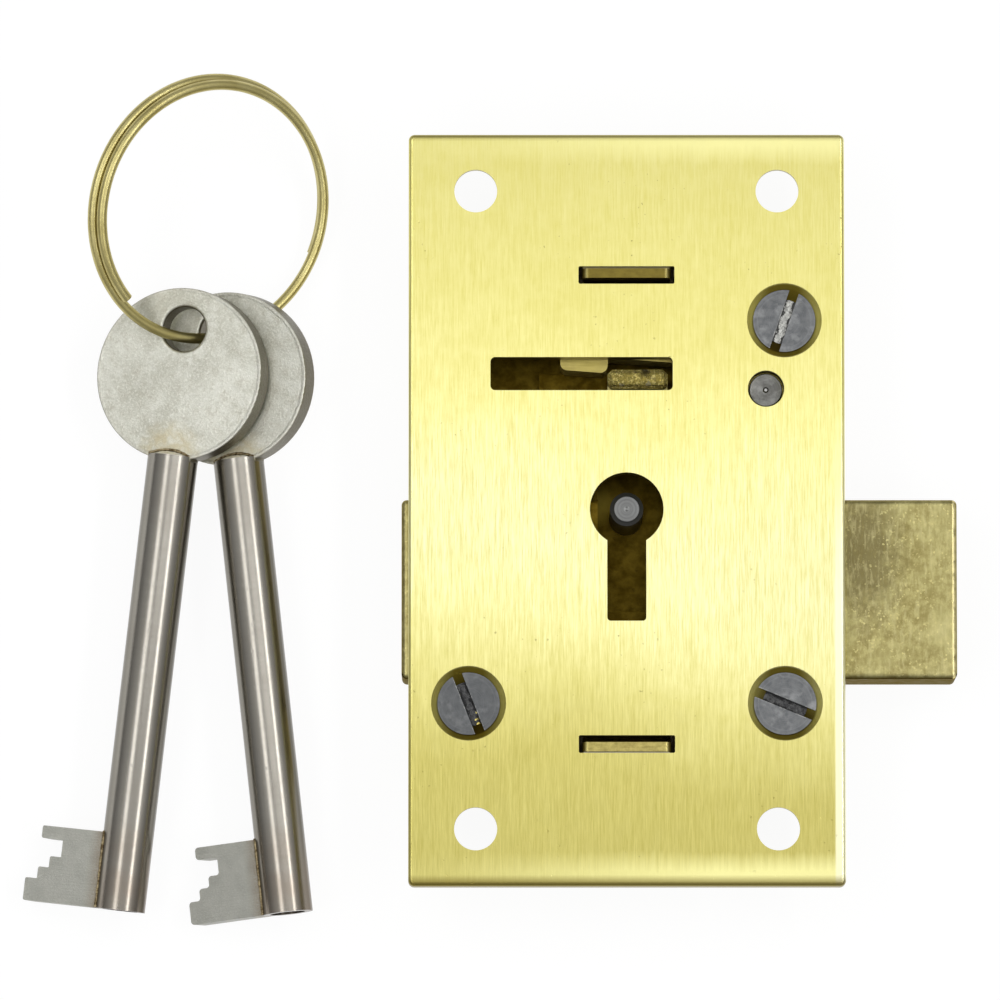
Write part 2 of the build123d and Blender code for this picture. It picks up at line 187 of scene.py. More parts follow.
# Bolt, and the crystals of its broken stump
BOLT_DEEP = (0.29, 0.245, 0.09)
BOLT_PALE = (0.46, 0.415, 0.18)
BOLT_MOTTLE = (0.62, 0.56, 0.25)
BOLT_PATCH_SHADE = (0.13, 0.105, 0.045)
BOLT_GRAINS = (0.86, 0.77, 0.34)
BOLT_STREAK_PALE = (0.66, 0.60, 0.30)
BOLT_STREAK_DEEP = (0.26, 0.215, 0.075)
BOLT_EDGE_SHADE = (0.025, 0.018, 0.004)
BOLT_LOW_SIDE_SHADE = (0.148, 0.118, 0.04)
BOLT_SIDE_DEEP = (0.27, 0.225, 0.085)
BOLT_SIDE_PALE = (0.43, 0.375, 0.17)
BOLT_END_HIGHLIGHT = (0.98, 0.87, 0.45)
BOLT_SHEEN = (0.45, 0.38, 0.22, 1.0)
CRYSTAL_DEEP = (0.25, 0.20, 0.055)
CRYSTAL_PALE = (0.66, 0.545, 0.155)
CRYSTAL_SPARKLE = (0.98, 0.86, 0.34)
CRYSTAL_SILVER = (0.42, 0.40, 0.34)
HOLLOW_SHADE = (0.055, 0.042, 0.015)
# Levers and springs
LEVER_DEEP = (0.43, 0.36, 0.105)
LEVER_PALE = (0.54, 0.455, 0.145)
LEVER_CLOUD = (0.27, 0.215, 0.085)
BRONZE_DEEP = (0.48, 0.33, 0.15)
BRONZE_PALE = (0.68, 0.50, 0.27)
BRONZE_TINT = (0.36, 0.23, 0.10)
# Screws, with the torn floors of their slots
BLUED_DEEP = (0.125, 0.130, 0.134)
BLUED_PALE = (0.195, 0.200, 0.203)
BLUED_RINGS = (0.26, 0.265, 0.28)
BLUED_HIGHLIGHT = (0.34, 0.345, 0.345)
BLUED_NICKS = (0.42, 0.42, 0.43)
BLUED_DARKEST = (0.075, 0.078, 0.08)
BURR_TONE = (0.36, 0.36, 0.35)
TORN_DEEP = (0.05, 0.05, 0.052)
TORN_PALE = (0.13, 0.13, 0.13)
TORN_BRIGHT_DEEP = (0.20, 0.20, 0.19)
TORN_BRIGHT_PALE = (0.68, 0.68, 0.64)
BRASS_CHIPS = (0.95, 0.78, 0.22)
SLOT_SHADE = (0.03, 0.03, 0.03)
# Pins
PIN_DEEP = (0.135, 0.137, 0.135)
PIN_PALE = (0.215, 0.218, 0.212)
PIN_SIDES = (0.17, 0.17, 0.165)
PIN_FOOT = (0.10, 0.095, 0.085)
PIVOT_DEEP = (0.115, 0.112, 0.10)
PIVOT_PALE = (0.29, 0.288, 0.27)
NIB_HIGHLIGHT = (0.40, 0.40, 0.39)
# Keys and their ring
TUBE_DEEP = (0.345, 0.325, 0.285)
TUBE_PALE = (0.37, 0.35, 0.31)
TUBE_LINES = (0.43, 0.41, 0.365)
TUBE_CLOUD = (0.28, 0.25, 0.21)
TUBE_FLANK_SHADE = (0.107, 0.097, 0.072)
SCORCHED = (0.28, 0.22, 0.17)
BOW_DEEP = (0.54, 0.535, 0.45)
BOW_PALE = (0.69, 0.69, 0.605)
BOW_BLOT_DEEP = (0.47, 0.445, 0.355)
BOW_BLOT_PALE = (0.78, 0.775, 0.71)
BOW_SAND = (0.95, 0.945, 0.87)
BOW_FLUSH = (0.62, 0.54, 0.33)
BOW_SIDE_SHADE_DEEP = (0.130, 0.115, 0.080)
BOW_SIDE_SHADE_PALE = (0.170, 0.154, 0.115)
BOW_RIM_WORN = (0.76, 0.74, 0.66)
BIT_DEEP = (0.39, 0.39, 0.35)
BIT_PALE = (0.46, 0.46, 0.415)
BIT_SAND = (0.58, 0.58, 0.53)
BIT_STAIN = (0.26, 0.20, 0.13)
FLUX_DEEP = (0.16, 0.115, 0.06)
FLUX_PALE = (0.50, 0.41, 0.24)
RING_DEEP = (0.50, 0.43, 0.17)
RING_PALE = (0.62, 0.55, 0.25)
RING_SPECKS = (0.30, 0.24, 0.07)


class Surface:
    """A node material on coordinates in millimetres, with short calls for the nodes it uses."""

    def __init__(self, name, metallic, roughness):
        self.material = bpy.data.materials.new(name)
        self.material.use_nodes = True
        self.tree = self.material.node_tree
        self.shader = self.tree.nodes["Principled BSDF"]
        self.shader.inputs["Metallic"].default_value = metallic
        self.shader.inputs["Roughness"].default_value = roughness
        place = self.tree.nodes.new("ShaderNodeTexCoord")
        self.here = self.stretch(place.outputs["Object"], (1 / MM, 1 / MM, 1 / MM))

    def put(self, socket, value):
        """Sets a socket to a plain value, or joins it to another node's output."""
        if isinstance(value, bpy.types.NodeSocket):
            self.tree.links.new(value, socket)
        else:
            socket.default_value = value

    def stretch(self, vector, scale):
        """Coordinates scaled on each axis."""
        node = self.tree.nodes.new("ShaderNodeMapping")
        self.put(node.inputs["Vector"], vector)
        node.inputs["Scale"].default_value = scale
        return node.outputs["Vector"]

    def about(self, origin, turn):
        """Coordinates seen from a piece that lies at an origin and has been turned."""
        node = self.tree.nodes.new("ShaderNodeMapping")
        node.vector_type = "TEXTURE"
        self.put(node.inputs["Vector"], self.here)
        node.inputs["Location"].default_value = origin
        node.inputs["Rotation"].default_value = turn
        return node.outputs["Vector"]

    def noise(self, vector, scale, detail=3.0, roughness=0.5, distortion=0.0):
        """Noise from 0 to 1, with a scale in grains per millimetre."""
        node = self.tree.nodes.new("ShaderNodeTexNoise")
        self.put(node.inputs["Vector"], vector)
        node.inputs["Scale"].default_value = scale
        node.inputs["Detail"].default_value = detail
        node.inputs["Roughness"].default_value = roughness
        node.inputs["Distortion"].default_value = distortion
        return node.outputs["Fac"]

    def lines(self, value, scale, detail=3.0):
        """Uneven lines across a single running value, such as a radius."""
        node = self.tree.nodes.new("ShaderNodeTexNoise")
        node.noise_dimensions = "1D"
        self.put(node.inputs["W"], value)
        node.inputs["Scale"].default_value = scale
        node.inputs["Detail"].default_value = detail
        return node.outputs["Fac"]

    def cells(self, vector, scale):
        """A random value for each grain of a crystal pattern."""
        node = self.tree.nodes.new("ShaderNodeTexVoronoi")
        self.put(node.inputs["Vector"], vector)
        node.inputs["Scale"].default_value = scale
        split = self.tree.nodes.new("ShaderNodeSeparateColor")
        self.tree.links.new(node.outputs["Color"], split.inputs[0])
        return split.outputs[0]

    def range(self, value, low, high, to_low=0.0, to_high=1.0):
        """Moves a value from one range to another and stops it at the ends."""
        node = self.tree.nodes.new("ShaderNodeMapRange")
        self.put(node.inputs["Value"], value)
        node.inputs["From Min"].default_value = low
        node.inputs["From Max"].default_value = high
        node.inputs["To Min"].default_value = to_low
        node.inputs["To Max"].default_value = to_high
        return node.outputs["Result"]

    def plus(self, first, second):
        """Two values added."""
        return self.math("ADD", first, second)

    def times(self, first, second):
        """Two values multiplied."""
        return self.math("MULTIPLY", first, second)

    def math(self, operation, first, second=0.0):
        """One operation on two values, or on one."""
        node = self.tree.nodes.new("ShaderNodeMath")
        node.operation = operation
        self.put(node.inputs[0], first)
        self.put(node.inputs[1], second)
        return node.outputs[0]

    def part(self, vector, axis):
        """One coordinate: X, Y or Z."""
        node = self.tree.nodes.new("ShaderNodeSeparateXYZ")
        self.put(node.inputs[0], vector)
        return node.outputs[axis]

    def reach(self, vector, centre):
        """Distance from a point."""
        node = self.tree.nodes.new("ShaderNodeVectorMath")
        node.operation = "DISTANCE"
        self.put(node.inputs[0], vector)
        node.inputs[1].default_value = centre
        return node.outputs["Value"]

    def from_axis(self, vector, place):
        """Distance from an upright line through a place."""
        return self.reach(self.stretch(vector, (1.0, 1.0, 0.0)), (*place, 0.0))

    def mix(self, share, first, second):
        """Two colours mixed by a share from 0 to 1."""
        node = self.tree.nodes.new("ShaderNodeMix")
        node.data_type = "RGBA"
        self.put(node.inputs[0], share)
        self.put(node.inputs[6], self.opaque(first))
        self.put(node.inputs[7], self.opaque(second))
        return node.outputs[2]

    def opaque(self, colour):
        """A plain colour with its alpha, or a socket as it is."""
        if isinstance(colour, bpy.types.NodeSocket):
            return colour
        return (*colour, 1.0)

    def colour(self, colour):
        """Sets the base colour."""
        self.put(self.shader.inputs["Base Color"], self.opaque(colour))

    def rough(self, value):
        """Drives the roughness from a value that changes over the surface."""
        self.put(self.shader.inputs["Roughness"], value)

    def relief(self, height, depth):
        """Bumps of a depth in millimetres from a height from 0 to 1."""
        node = self.tree.nodes.new("ShaderNodeBump")
        node.inputs["Strength"].default_value = 1.0
        node.inputs["Distance"].default_value = depth * MM
        self.put(node.inputs["Height"], height)
        above = self.shader.inputs["Normal"].links
        if above:
            self.tree.links.new(above[0].from_socket, node.inputs["Normal"])
        self.tree.links.new(node.outputs["Normal"], self.shader.inputs["Normal"])


def key_turn(angles):
    """The turn of a key in the frame, from its heading, pitch and roll in degrees."""
    heading, pitch, roll = (math.radians(angle) for angle in angles)
    turn = Matrix.Rotation(heading, 3, "Z")
    turn = turn @ Matrix.Rotation(pitch, 3, "X")
    return turn @ Matrix.Rotation(-roll, 3, "Y")


def inside_case(surface):
    """1 in the space of the case and 0 outside it."""
    share = surface.range(surface.part(surface.here, Z), SHEET - 0.05, SHEET)
    below = surface.range(surface.part(surface.here, Z), PLATE_BACK + 0.05, PLATE_BACK)
    share = surface.times(share, below)
    for axis, half in ((X, CASE_WIDTH / 2), (Y, CASE_HEIGHT / 2)):
        out = surface.math("ABSOLUTE", surface.part(surface.here, axis))
        within = surface.range(out, half - SHEET / 2, half - SHEET)
        share = surface.times(share, within)
    return share


def oil_on(surface, limit=1.0):
    """The share of oil on a metal, which is less metallic where the oil lies."""
    share = surface.times(inside_case(surface), limit)
    metal = surface.range(share, 0.0, 1.0, 1.0, OIL_METAL)
    surface.put(surface.shader.inputs["Metallic"], metal)
    surface.shader.inputs["Specular IOR Level"].default_value = 0.0
    return share


def oil_tone(surface):
    """Old dark oil on brass."""
    blots = surface.noise(surface.here, 0.9, 4.0, 0.6)
    return surface.mix(surface.range(blots, 0.38, 0.66), OIL_DEEP, OIL_PALE)


def brushing(surface, along, across_scale, along_scale, detail, roughness):
    """Brush lines along one axis: noise that is fine across them and drawn out along them."""
    grain = [across_scale, across_scale, across_scale]
    grain[along] = along_scale
    return surface.noise(surface.stretch(surface.here, grain), 1.0, detail, roughness)


def sheet_brass(name, pale, deep, roughness, along):
    """Rolled brass brushed along one axis, with clouds and dark pits: it, its tone and brushing."""
    brass = Surface(name, 1.0, roughness)
    coarse = brushing(brass, along, 6.5, 0.22, 5.0, 0.62)
    fine = brushing(brass, along, 15.0, 0.65, 3.0, 0.6)
    brushed = brass.times(brass.plus(coarse, fine), 0.5)
    clouds = brass.noise(brass.here, 0.09, 3.0, 0.55)
    mottle = brass.noise(brass.here, 0.8, 4.0, 0.6)
    tone = brass.mix(brass.range(brushed, 0.36, 0.64), deep, pale)
    dull = brass.range(clouds, 0.35, 0.7)
    tone = brass.mix(brass.times(dull, 0.3), tone, deep)
    tone = brass.mix(brass.range(mottle, 0.42, 0.72, 0.0, 0.4), tone, pale)
    pits = brass.range(brass.noise(brass.here, 3.2, 2.0, 0.4), 0.71, 0.76)
    where = brass.range(brass.noise(brass.here, 0.16, 2.0), 0.48, 0.6)
    pits = brass.times(pits, where)
    tone = brass.mix(brass.times(pits, 0.6), tone, PIT_TONE)
    brass.rough(brass.range(brushed, 0.3, 0.7, roughness + 0.07, roughness - 0.05))
    brass.relief(brushed, 0.008)
    brass.relief(pits, -0.02)
    return brass, tone, brushed


def plate_fading(brass, tone, brushed):
    """Painted light on the plate: painted shade darkens it towards its ends, and a painted
    highlight of the top lamp brightens its middle; the bands shift across the plate, so the lower
    shade is lighter to the right.
    """
    across = brass.part(brass.here, X)
    up = brass.part(brass.here, Y)
    cloud = brass.noise(brass.here, 0.05, 2.0)
    drift = brass.plus(up, brass.range(cloud, 0.3, 0.7, -3.0, 3.0))
    drift = brass.plus(drift, brass.times(across, 0.09))
    grain = brass.range(brushed, 0.38, 0.62)
    # Painted shade towards the lower end of the plate.
    lower = brass.range(drift, -8.5, -22.0, 0.0, 0.82)
    lower_shade_tone = brass.mix(grain, LOWER_SHADE_DEEP, LOWER_SHADE_PALE)
    tone = brass.mix(lower, tone, lower_shade_tone)
    # Painted shade towards the upper end of the plate.
    upper = brass.range(drift, 4.0, 18.0, 0.0, 0.36)
    tone = brass.mix(upper, tone, UPPER_SHADE)
    # Painted highlight across the middle of the plate.
    middle_highlight = brass.math("ABSOLUTE", brass.plus(drift, 4.0))
    middle_highlight = brass.range(middle_highlight, 11.0, 2.0, 0.0, 0.85)
    middle_highlight_tone = brass.mix(grain, MIDDLE_HIGHLIGHT_DEEP, MIDDLE_HIGHLIGHT_PALE)
    return brass.mix(middle_highlight, tone, middle_highlight_tone)


def plate_rims(brass, tone):
    """Painted light at the plate's rims: painted highlights in bands across its ends, stronger to
    the right, and along its right edge, most towards the bottom, and painted shade on its rolled
    end rims.
    """
    across = brass.part(brass.here, X)
    up = brass.part(brass.here, Y)
    end = brass.math("MAXIMUM", brass.times(up, -1.0), brass.math("SUBTRACT", up, 0.35))
    streaks = brass.noise(brass.stretch(brass.here, (2.5, 0.2, 1.0)), 1.0, 3.0)
    ragged = brass.plus(end, brass.range(streaks, 0.3, 0.7, -0.25, 0.25))
    # Painted highlight in a ragged band across each end.
    end_band_highlight = brass.range(ragged, PLATE_END - 2.9, PLATE_END - 1.3)
    end_band_highlight = brass.times(end_band_highlight, brass.range(across, -16.0, 8.0, 0.1, 0.9))
    tone = brass.mix(end_band_highlight, tone, PLATE_END_HIGHLIGHT)
    # Painted highlight along the right edge.
    edge_highlight = brass.range(across, PLATE_SIDE - 0.95, PLATE_SIDE - 0.8)
    edge_highlight = brass.times(edge_highlight, brass.range(up, 8.0, -8.0))
    tone = brass.mix(edge_highlight, tone, PLATE_EDGE_HIGHLIGHT)
    # Painted shade on the rolled rims at the ends.
    rim_shade = brass.range(end, PLATE_END - 0.95, PLATE_END - 0.25, 0.0, 0.9)
    return brass.mix(rim_shade, tone, ROLLED_RIM_SHADE)


def plate_openings(brass, tone, sunk):
    """A dark brown tone on the walls of the plate's openings, but not on its outer sides or in its
    recesses.
    """
    wall = sunk
    for axis, side in enumerate((PLATE_SIDE, PLATE_END)):
        out = brass.math("ABSOLUTE", brass.part(brass.here, axis))
        inside = brass.range(out, side - PLATE_RIM, side - PLATE_RIM - 0.2)
        wall = brass.times(wall, inside)
    for place in SCREWS:
        near = brass.from_axis(brass.here, place)
        wall = brass.times(wall, brass.range(near, RECESS_EDGE - 0.2, RECESS_EDGE))
    return brass.mix(brass.times(wall, 0.85), tone, WALL_DARK_BROWN)


def plate_recesses(brass, tone, sunk):
    """Old oil with painted shade in the recesses of the screws: darker above and below each head
    than beside it, and darkest, with a painted shadow, in the crevice round each head, most below
    it.
    """
    up = brass.part(brass.here, Y)
    for x, y in SCREWS:
        beside = brass.reach(brass.stretch(brass.here, (1.0, 0.0, 0.0)), (x, 0.0, 0.0))
        near = brass.from_axis(brass.here, (x, y))
        recess = brass.times(brass.range(near, RECESS_EDGE, RECESS_EDGE - 0.2), sunk)
        # Painted shade with the oil: the recess is left lighter beside the head.
        oil_and_shade = brass.times(recess, brass.range(beside, 2.9, 1.2, 0.0, 0.95))
        tone = brass.mix(oil_and_shade, tone, RECESS_OIL_AND_SHADE)
        # Painted shadow with oil in the crevice round the head, strongest below it.
        crevice_shadow = brass.range(near, SCREW_RADIUS + 0.22, SCREW_RADIUS + 0.06, 0.0, 0.85)
        crevice_shadow = brass.times(crevice_shadow, brass.range(up, y + 0.8, y - 1.2, 0.3, 1.0))
        tone = brass.mix(brass.times(recess, crevice_shadow), tone, CREVICE_OIL_AND_SHADOW)
    return tone


def plate_brass():
    """The face plate, brushed along its height."""
    brass, tone, brushed = sheet_brass("plate_brass", PLATE_PALE, PLATE_DEEP, 0.34, Y)
    tone = plate_fading(brass, tone, brushed)
    tone = plate_rims(brass, tone)
    sunk = brass.range(brass.part(brass.here, Z), PLATE_FACE - 0.03, PLATE_FACE - 0.12)
    tone = plate_recesses(brass, tone, sunk)
    tone = plate_openings(brass, tone, sunk)
    brass.colour(tone)
    return brass.material


def case_brass():
    """The drawn case, duller than the plate, oily inside with a painted pool of light on its floor,
    and brown at its tabs with painted highlights at their ends.
    """
    brass, tone, brushed = sheet_brass("case_brass", CASE_PALE, CASE_DEEP, 0.36, X)
    oil = oil_tone(brass)
    # Painted light: a paler patch on the case floor stands in for a pool of light there.
    patch = brass.from_axis(brass.here, FLOOR_LIGHT_POOL)
    oil = brass.mix(brass.range(patch, 1.9, 0.5, 0.0, 0.85), oil, FLOOR_LIGHT_POOL_TONE)
    tone = brass.mix(oil_on(brass), tone, oil)
    tab = brass.range(brass.part(brass.here, Z), PLATE_BACK, PLATE_FACE - 0.6)
    upper = brass.range(brass.part(brass.here, Y), -1.0, 1.0)
    tab_tone = brass.mix(upper, LOWER_TAB, UPPER_TAB)
    worn = brass.plus(brass.noise(brass.here, 2.5, 4.0, 0.6), brushed)
    worn = brass.range(worn, 0.85, 1.2, 0.0, 0.5)
    tab_tone = brass.mix(worn, tab_tone, TAB_BROWN)
    # Painted highlights at the rounded ends of the tabs.
    beside = brass.math("ABSOLUTE", brass.part(brass.here, X))
    tab_tone = brass.mix(brass.range(beside, 3.2, 3.6, 0.0, 0.7), tab_tone, TAB_END_HIGHLIGHT)
    tone = brass.mix(tab, tone, tab_tone)
    brass.colour(tone)
    return brass.material


def bolt_tarnish(brass, mottle):
    """The bolt's faces: tarnished clouds, a patch of painted shade near the plate, small bright
    grains and streaks.
    """
    clouds = brass.noise(brass.here, 0.22, 4.0, 0.6, 0.4)
    tone = brass.mix(brass.range(clouds, 0.36, 0.64), BOLT_DEEP, BOLT_PALE)
    tone = brass.mix(brass.range(mottle, 0.42, 0.68, 0.0, 0.6), tone, BOLT_MOTTLE)
    # Painted shade: a dark patch on the bolt's head next to the plate.
    flat = brass.stretch(brass.here, (1.0, BOLT_SHADE_SQUASH, 0.0))
    centre = (BOLT_SHADE[0], BOLT_SHADE[1] * BOLT_SHADE_SQUASH, 0.0)
    shade = brass.plus(brass.reach(flat, centre), brass.range(mottle, 0.0, 1.0, -1.6, 1.6))
    patch_shade = brass.range(shade, 4.4, 1.6, 0.0, 0.75)
    tone = brass.mix(patch_shade, tone, BOLT_PATCH_SHADE)
    grains = brass.range(brass.cells(brass.here, 7.0), 0.90, 0.97)
    patchy = brass.range(brass.noise(brass.here, 0.5, 2.0), 0.40, 0.60, 0.1, 0.5)
    tone = brass.mix(brass.times(grains, patchy), tone, BOLT_GRAINS)
    streaks = brass.noise(brass.stretch(brass.here, (3.0, 0.7, 3.0)), 1.0, 4.0, 0.65)
    tone = brass.mix(brass.range(streaks, 0.50, 0.72, 0.0, 0.45), tone, BOLT_STREAK_PALE)
    return brass.mix(brass.range(streaks, 0.48, 0.30, 0.0, 0.45), tone, BOLT_STREAK_DEEP)


def bolt_sides(brass, tone, mottle):
    """The bolt's sides are duller than its face, and the lower one has painted shade, darkest just
    under its edge.
    """
    height = brass.part(brass.here, Z)
    # Painted shade on the lower side, darkest under the face's edge.
    lower = brass.range(height, BOLT_FACE - 0.4, BOLT_FACE - 0.9)
    side_shade = brass.mix(lower, BOLT_EDGE_SHADE, BOLT_LOW_SIDE_SHADE)
    low_side = brass.range(brass.part(brass.here, Y), BOLT_BOTTOM + 0.55, BOLT_BOTTOM + 0.4)
    plain_side = brass.mix(brass.range(mottle, 0.38, 0.62), BOLT_SIDE_DEEP, BOLT_SIDE_PALE)
    side_tone = brass.mix(low_side, plain_side, side_shade)
    side = brass.range(height, BOLT_FACE - 0.04, BOLT_FACE - 0.2, 0.0, 0.9)
    return brass.mix(side, tone, side_tone)


def bolt_rubbed_end(brass, tone, mottle):
    """A painted highlight: a bright line along the end of the bolt."""
    along = brass.part(brass.here, X)
    # Painted highlight along the rounded end of the bolt.
    painted_highlight = brass.range(along, BOLT_END - 0.42, BOLT_END - 0.32)
    painted_highlight = brass.times(painted_highlight, brass.range(along, BOLT_END - 0.1, BOLT_END - 0.2))
    painted_highlight = brass.times(painted_highlight, brass.range(mottle, 0.36, 0.52, 0.25, 1.0))
    top = brass.range(brass.part(brass.here, Z), BOLT_FACE - 0.5, BOLT_FACE - 0.3)
    return brass.mix(brass.times(painted_highlight, top), tone, BOLT_END_HIGHLIGHT)


def bolt_oil(brass, tone, mottle):
    """Oil on the bolt, with painted shade on its lower bar below the window, and none on the
    stretch that the case wall wipes.
    """
    along = brass.part(brass.here, X)
    across = brass.part(brass.here, Y)
    wiped = brass.plus(along, brass.range(mottle, 0.3, 0.7, -1.5, 1.5))
    unwiped = brass.range(wiped, BOLT_DRAWN_OUT, BOLT_DRAWN_OUT + 3.0)
    beyond_bar = brass.range(across, BOLT_TOP - 0.1, BOLT_TOP + 0.3)
    share = oil_on(brass, brass.math("MAXIMUM", unwiped, beyond_bar))
    # Painted shade on the oil of the lower bar, below the bolt's window.
    low = brass.range(across, BOLT_WINDOW_LOW + 0.1, BOLT_WINDOW_LOW - 0.1, 0.0, 0.5)
    return brass.mix(share, tone, brass.mix(low, oil_tone(brass), OIL_SHADE))


def broken_brass(brass, crystals):
    """The broken end of the stump: dark and yellow crystals, with a few silvery ones, and painted
    shade in a hollow near its upper edge.
    """
    tone = brass.mix(brass.range(crystals, 0.36, 0.60), CRYSTAL_DEEP, CRYSTAL_PALE)
    sparkle = brass.range(brass.cells(brass.here, 7.5), 0.72, 0.86, 0.0, 0.85)
    tone = brass.mix(sparkle, tone, CRYSTAL_SPARKLE)
    silver = brass.range(brass.cells(brass.here, 2.6), 0.92, 0.96, 0.0, 0.5)
    tone = brass.mix(silver, tone, CRYSTAL_SILVER)
    # Painted shade in the hollow near the upper edge of the broken end.
    hollow_shade = brass.from_axis(brass.here, BREAK_HOLLOW)
    hollow_shade = brass.plus(hollow_shade, brass.range(crystals, 0.3, 0.7, -0.15, 0.15))
    hollow_shade = brass.range(hollow_shade, 0.5, 0.2, 0.0, 0.85)
    return brass.mix(hollow_shade, tone, HOLLOW_SHADE)


def cast_brass():
    """Cast and tumbled brass of the bolt, oily inside the case and broken at the stump's end."""
    brass = Surface("cast_brass", 1.0, 0.4)
    brass.shader.inputs["Specular Tint"].default_value = BOLT_SHEEN
    mottle = brass.noise(brass.here, 1.5, 5.0, 0.65)
    tone = bolt_tarnish(brass, mottle)
    tone = bolt_sides(brass, tone, mottle)
    tone = bolt_rubbed_end(brass, tone, mottle)
    tone = bolt_oil(brass, tone, mottle)
    crystals = brass.noise(brass.here, 3.0, 6.0, 0.75, 0.8)
    stump = brass.range(brass.part(brass.here, Z), STUMP_LOW, STUMP_LOW + 0.6)
    brass.colour(brass.mix(stump, tone, broken_brass(brass, crystals)))
    brass.rough(brass.range(mottle, 0.3, 0.7, 0.28, 0.5))
    brass.relief(mottle, 0.03)
    brass.relief(brass.times(stump, crystals), 0.22)
    return brass.material


def lever_brass():
    """Blanked lever brass, dull and tan, with fine rolling lines."""
    brass = Surface("lever_brass", 1.0, 0.42)
    lines = brass.noise(brass.stretch(brass.here, (0.4, 5.0, 5.0)), 1.0, 4.0, 0.6)
    clouds = brass.noise(brass.here, 0.7, 3.0)
    tone = brass.mix(brass.range(lines, 0.35, 0.65), LEVER_DEEP, LEVER_PALE)
    tone = brass.mix(brass.range(clouds, 0.5, 0.8, 0.0, 0.4), tone, LEVER_CLOUD)
    brass.colour(tone)
    brass.relief(lines, 0.01)
    return brass.material


def spring_bronze():
    """Cold-rolled bronze strip, smooth, with a darker tint where it was bent."""
    bronze = Surface("spring_bronze", 1.0, 0.28)
    lines = bronze.noise(bronze.stretch(bronze.here, (0.5, 0.5, 9.0)), 1.0, 3.0)
    clouds = bronze.noise(bronze.here, 0.5, 2.0)
    tone = bronze.mix(lines, BRONZE_DEEP, BRONZE_PALE)
    tone = bronze.mix(bronze.range(clouds, 0.5, 0.7, 0.0, 0.5), tone, BRONZE_TINT)
    bronze.colour(tone)
    bronze.relief(lines, 0.006)
    return bronze.material


def turned_brass():
    """Turned brass posts with tool rings across their length."""
    brass = Surface("turned_brass", 1.0, 0.35)
    rings = brass.lines(brass.part(brass.here, Z), 9.0)
    clouds = brass.noise(brass.here, 0.6, 3.0)
    tone = brass.mix(rings, POST_DEEP, POST_PALE)
    tone = brass.mix(brass.range(clouds, 0.4, 0.8, 0.0, 0.4), tone, POST_CLOUD)
    brass.colour(tone)
    brass.relief(rings, 0.012)
    return brass.material


def slot_across(surface):
    """Distance from the middle line of a screw's slot, near that screw."""
    total = 0.0
    for (x, y), angle in zip(SCREWS, SCREW_TURNS):
        near = surface.range(surface.from_axis(surface.here, (x, y)), 3.0, 2.9)
        along_slot = surface.about((x, y, 0.0), (0.0, 0.0, math.radians(angle)))
        away = surface.math("ABSOLUTE", surface.part(along_slot, Y))
        total = surface.plus(total, surface.times(near, away))
    return total


def over_screw(surface, number):
    """1 over one of the screws and 0 elsewhere."""
    return surface.range(surface.from_axis(surface.here, SCREWS[number]), 3.0, 2.8)


def nearest_screw(surface):
    """Distance from the axis of the nearest screw."""
    near = surface.from_axis(surface.here, SCREWS[0])
    for place in SCREWS[1:]:
        near = surface.math("MINIMUM", near, surface.from_axis(surface.here, place))
    return near


def head_tone(steel, rings, clouds, nicks, across):
    """Blued heads with turned rings, lighter patches of painted highlight, nicks and a bright burr
    along the slot.
    """
    tone = steel.mix(steel.range(clouds, 0.35, 0.65), BLUED_DEEP, BLUED_PALE)
    tone = steel.mix(steel.range(rings, 0.5, 0.8, 0.0, 0.3), tone, BLUED_RINGS)
    # Painted soft highlights: lighter patches on the blued heads.
    painted_highlight = steel.range(steel.noise(steel.here, 0.75, 3.0, 0.6), 0.54, 0.70, 0.0, 0.6)
    tone = steel.mix(painted_highlight, tone, BLUED_HIGHLIGHT)
    tone = steel.mix(steel.times(nicks, 0.5), tone, BLUED_NICKS)
    lower_left = over_screw(steel, LOWER_LEFT)
    tone = steel.mix(steel.times(lower_left, 0.45), tone, BLUED_DARKEST)
    burr = steel.range(across, SCREW_SLOT_HALF + 0.09, SCREW_SLOT_HALF + 0.03)
    ragged = steel.range(steel.noise(steel.here, 1.6, 3.0, 0.6), 0.48, 0.62)
    return steel.mix(steel.times(burr, ragged), tone, BURR_TONE)


def slot_tone(steel, torn, across):
    """Torn slot floors: the upper one bright, brass chips in the left one, dark at the sides."""
    tone = steel.mix(steel.range(torn, 0.4, 0.62), TORN_DEEP, TORN_PALE)
    bright = steel.mix(steel.range(torn, 0.30, 0.54), TORN_BRIGHT_DEEP, TORN_BRIGHT_PALE)
    tone = steel.mix(over_screw(steel, UPPER_RIGHT), tone, bright)
    chips = steel.range(steel.cells(steel.here, 3.6), 0.93, 0.95)
    chips = steel.times(chips, over_screw(steel, LOWER_LEFT))
    tone = steel.mix(chips, tone, BRASS_CHIPS)
    wide = steel.range(steel.noise(steel.here, 2.0, 3.0, 0.6), 0.35, 0.65, -0.14, 0.14)
    shaded = steel.range(steel.plus(across, wide), 0.24, 0.32, 0.0, 0.9)
    return steel.mix(shaded, tone, SLOT_SHADE)


